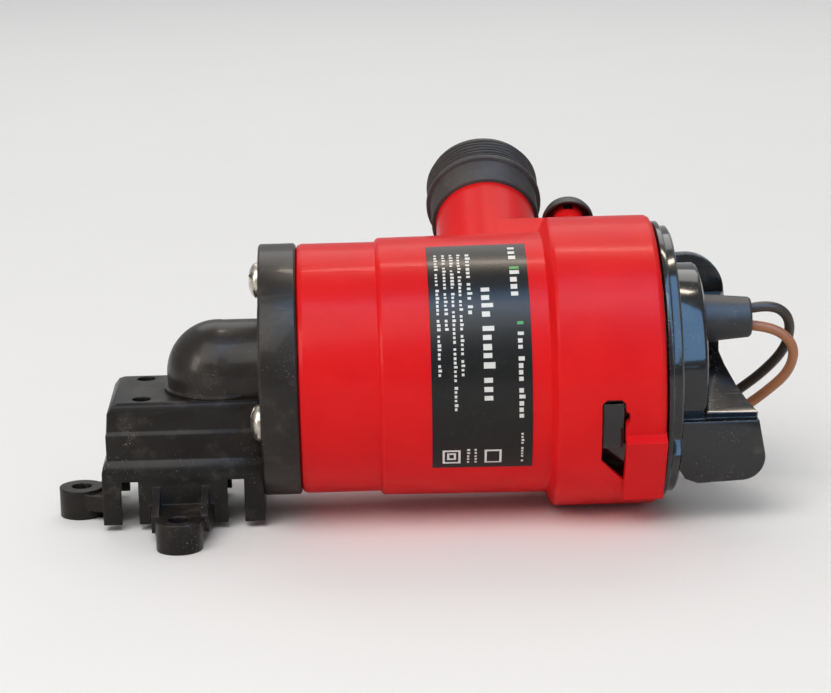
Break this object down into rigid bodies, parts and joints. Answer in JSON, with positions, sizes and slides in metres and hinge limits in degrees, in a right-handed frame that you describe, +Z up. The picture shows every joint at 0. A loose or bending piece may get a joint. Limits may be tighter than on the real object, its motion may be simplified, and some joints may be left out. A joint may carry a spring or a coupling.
{
  "type": "bilge pump",
  "caption": "Low cartridge bilge pump with a slotted strainer base, threaded hose port, vent valve and a twist-off motor cartridge.",
  "frame": {"origin": "midway between the two side mounting lugs' holes, on the plane the lugs stand on", "axes": "+X along the pump from the strainer to the wire gland, +Z up from the mounting plane"},
  "size_m": [0.1733, 0.1036, 0.0796],
  "materials": {
    "red_moulding": "glossy moulded plastic with faint ripples",
    "black_moulding": "satin moulded plastic",
    "port_moulding": "dull grained plastic",
    "gloss_black": "very glossy moulded plastic",
    "black_rubber": "moulded rubber",
    "label_film": "satin printed film",
    "stainless_screws": "turned stainless steel",
    "motor_steel": "plated steel",
    "bronze": "sintered bronze and brass",
    "magnet": "ferrite",
    "carbon": "carbon",
    "copper": "copper",
    "white_moulding": "moulded plastic",
    "brown_insulation": "satin wire insulation",
    "black_insulation": "satin wire insulation",
    "tinned_copper": "tinned copper strands"
  },
  "bodies": {
    "pump": {"inlet_cover": "black_moulding", "strainer_base": "black_moulding", "pump_housing": "red_moulding", "discharge_port": "port_moulding", "vent_valve": "black_rubber", "rating_label": "label_film", "cover_screws": "stainless_screws", "cover_seal": "black_rubber", "black_wire": "black_insulation", "black_wire_coil": "black_insulation", "black_wire_tail": "black_insulation", "black_wire_tip": "tinned_copper", "black_wire_tie": "black_moulding", "brown_wire": "brown_insulation", "brown_wire_coil": "brown_insulation", "brown_wire_tail": "brown_insulation", "brown_wire_tip": "tinned_copper", "brown_wire_tie": "black_moulding"},
    "cartridge": {"cartridge_cap": "gloss_black", "cartridge_seal": "black_rubber", "wire_gland": "black_rubber", "motor_shell": "black_moulding", "shaft_seal": "black_rubber", "motor_can": "motor_steel", "front_bushing": "bronze", "rear_bushing": "bronze", "field_magnets": "magnet", "end_bell": "black_moulding", "brushes": "carbon", "brush_springs": "bronze", "supply_tabs": "bronze", "inner_leads": "brown_insulation"},
    "rotor": {"motor_shaft": "motor_steel", "armature_core": "motor_steel", "armature_windings": "copper", "commutator": "copper", "impeller": "white_moulding"}
  },
  "joints": [
    {"name": "cartridge_twist", "type": "hinge", "parent": "pump", "child": "cartridge", "pos_m": [0.019, 0, 0.0336], "axis": [1, 0, 0], "range_deg": [0, 19]},
    {"name": "rotor_spin", "type": "hinge", "parent": "cartridge", "child": "rotor", "pos_m": [0.019, 0, 0.0336], "axis": [1, 0, 0], "continuous": true}
  ]
}
